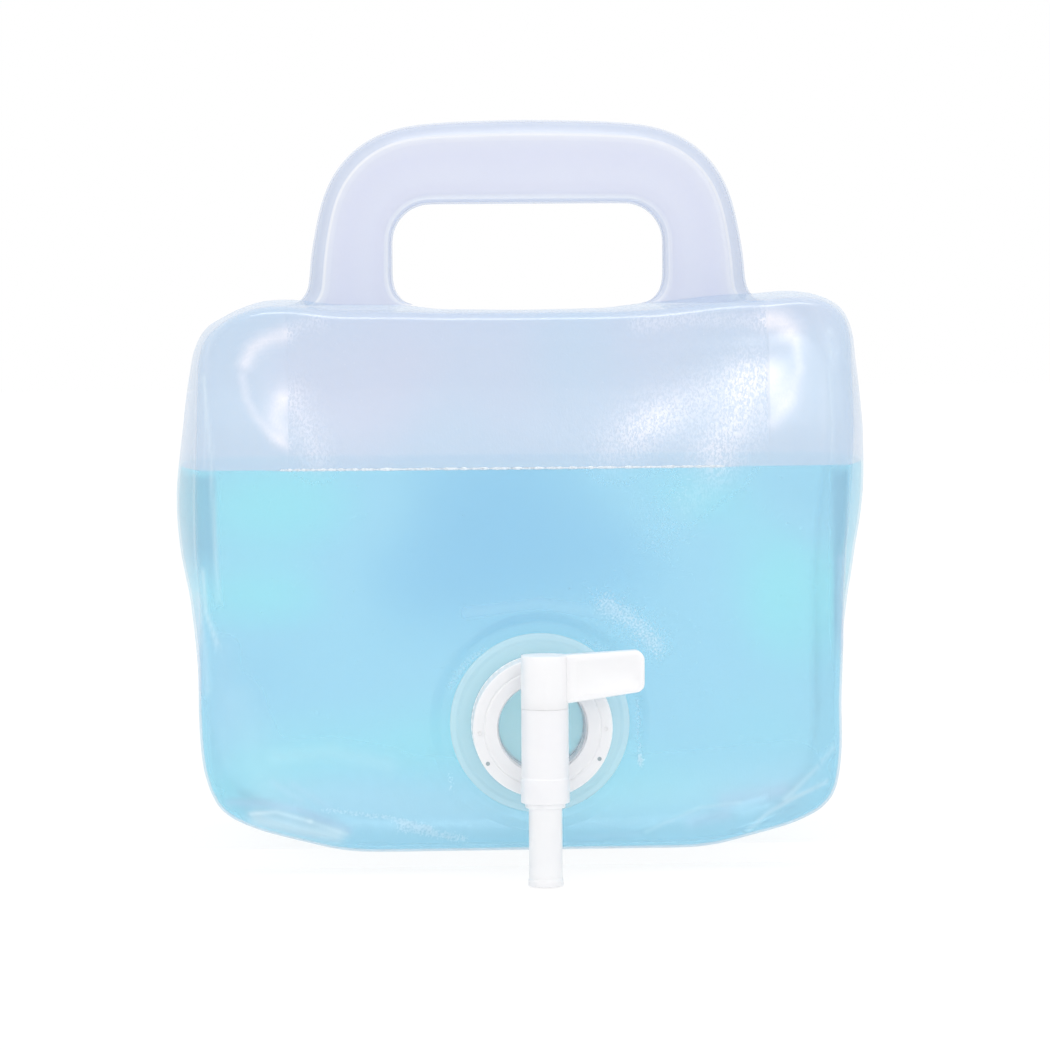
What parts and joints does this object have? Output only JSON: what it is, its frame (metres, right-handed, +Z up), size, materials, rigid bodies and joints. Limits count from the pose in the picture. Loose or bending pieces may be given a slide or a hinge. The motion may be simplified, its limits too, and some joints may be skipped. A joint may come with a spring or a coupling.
{
  "type": "collapsible water carrier",
  "caption": "Soft see-through water carrier with a loop handle, a screw neck low on the front and a lever tap, shown part full.",
  "frame": {"origin": "centre of the flat base, in the seam plane that runs through the handle", "axes": "+Z up, -Y towards the side with the tap, +X to the right as seen from the tap side"},
  "size_m": [0.2506, 0.1632, 0.2673],
  "materials": {
    "bag": "satin",
    "handle": "satin",
    "water": "gloss",
    "neck": "satin",
    "gasket": "matte",
    "tap": "satin",
    "collar": "satin",
    "key": "satin",
    "seal": "matte"
  },
  "bodies": {
    "bag": {"container": "bag", "handle": "handle", "water_fill": "water"},
    "front": {"threaded_neck": "neck"},
    "tap": {"tap_body": "tap", "flange_gasket": "gasket"},
    "collar": {"collar": "collar"},
    "key": {"tap_key": "key", "o_ring_upper": "seal", "o_ring_lower": "seal"}
  },
  "joints": [
    {"name": "collapse", "type": "slide", "parent": "bag", "child": "front", "axis": [0, 1, 0], "range_m": [0, 0.045], "deforming": ["container", "water_fill"]},
    {"name": "tap_travel", "type": "slide", "parent": "front", "child": "tap", "axis": [0, -1, 0], "range_m": [0, 0.008]},
    {"name": "collar_unscrew", "type": "hinge", "parent": "tap", "child": "collar", "pos_m": [0, -0.0715, 0.0467], "axis": [0, -1, 0], "range_deg": [0, 720]},
    {"name": "lever_turn", "type": "hinge", "parent": "tap", "child": "key", "pos_m": [0, -0.092, 0.0467], "axis": [0, 0, -1], "range_deg": [0, 90]}
  ],
  "couplings": [
    {"joint": "tap_travel", "follows": "collar_unscrew", "m_per_rad": 0.00063662}
  ]
}
